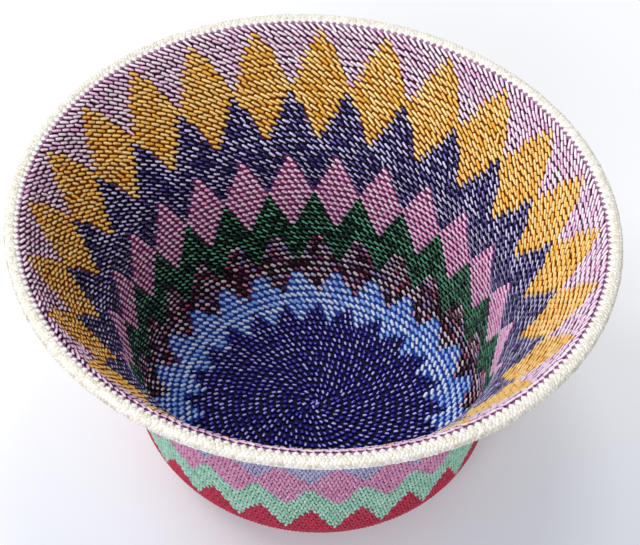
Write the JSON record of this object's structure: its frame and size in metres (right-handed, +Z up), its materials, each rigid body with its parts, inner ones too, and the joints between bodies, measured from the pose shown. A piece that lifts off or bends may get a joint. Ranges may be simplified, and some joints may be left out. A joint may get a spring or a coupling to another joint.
{
  "type": "beaded basket",
  "caption": "Flared round basket of crocheted cotton, lined with glass beads in zigzag and diamond bands, with a white bound edge over a cord.",
  "frame": {"origin": "centre of the underside, on the surface that the basket stands on", "axes": "+Z up along the basket's axis of turning, +X at the middle of one repeat of the pattern, +Y away from the picture's camera"},
  "size_m": [0.2264, 0.2264, 0.1271],
  "materials": {
    "thread_crimson": "matt crocheted cotton",
    "thread_mint": "matt crocheted cotton",
    "thread_pink": "matt crocheted cotton",
    "thread_periwinkle": "matt crocheted cotton",
    "thread_white": "matt crocheted cotton",
    "beads_navy": "glossy dark transparent glass",
    "beads_blue": "glossy glass",
    "beads_garnet": "glossy glass with an iridescent coat",
    "beads_green": "glossy dark transparent glass",
    "beads_pink": "glossy glass with a silvered lining",
    "beads_gold": "glossy glass with a silvered lining",
    "beads_lavender": "glossy glass with a silvered lining"
  },
  "bodies": {
    "root": {"beads_diamond_gold_01": "beads_gold", "beads_diamond_gold_02": "beads_gold", "beads_diamond_gold_03": "beads_gold", "beads_diamond_gold_04": "beads_gold", "beads_diamond_gold_05": "beads_gold", "beads_diamond_gold_06": "beads_gold", "beads_diamond_gold_07": "beads_gold", "beads_diamond_gold_08": "beads_gold", "beads_diamond_gold_09": "beads_gold", "beads_diamond_gold_10": "beads_gold", "beads_diamond_gold_11": "beads_gold", "beads_diamond_gold_12": "beads_gold", "beads_diamond_gold_13": "beads_gold", "beads_diamond_gold_14": "beads_gold", "beads_diamond_gold_15": "beads_gold", "beads_diamond_gold_16": "beads_gold", "beads_diamond_gold_17": "beads_gold", "beads_diamond_gold_18": "beads_gold", "beads_diamond_gold_19": "beads_gold", "beads_diamond_gold_20": "beads_gold", "beads_diamond_gold_21": "beads_gold", "beads_diamond_gold_22": "beads_gold", "beads_diamond_gold_23": "beads_gold", "beads_diamond_gold_24": "beads_gold", "beads_diamonds_pink": "beads_pink", "beads_floor_navy": "beads_navy", "beads_ring_blue": "beads_blue", "beads_ring_garnet": "beads_garnet", "beads_ring_green": "beads_green", "beads_ring_lavender": "beads_lavender", "beads_ring_navy": "beads_navy", "fabric_band_mint": "thread_mint", "fabric_band_periwinkle": "thread_periwinkle", "fabric_band_pink": "thread_pink", "fabric_band_upper_crimson": "thread_crimson", "fabric_band_upper_mint": "thread_mint", "fabric_base_crimson": "thread_crimson", "rim_binding": "thread_white", "rim_core_cord": "thread_white"}
  },
  "joints": []
}
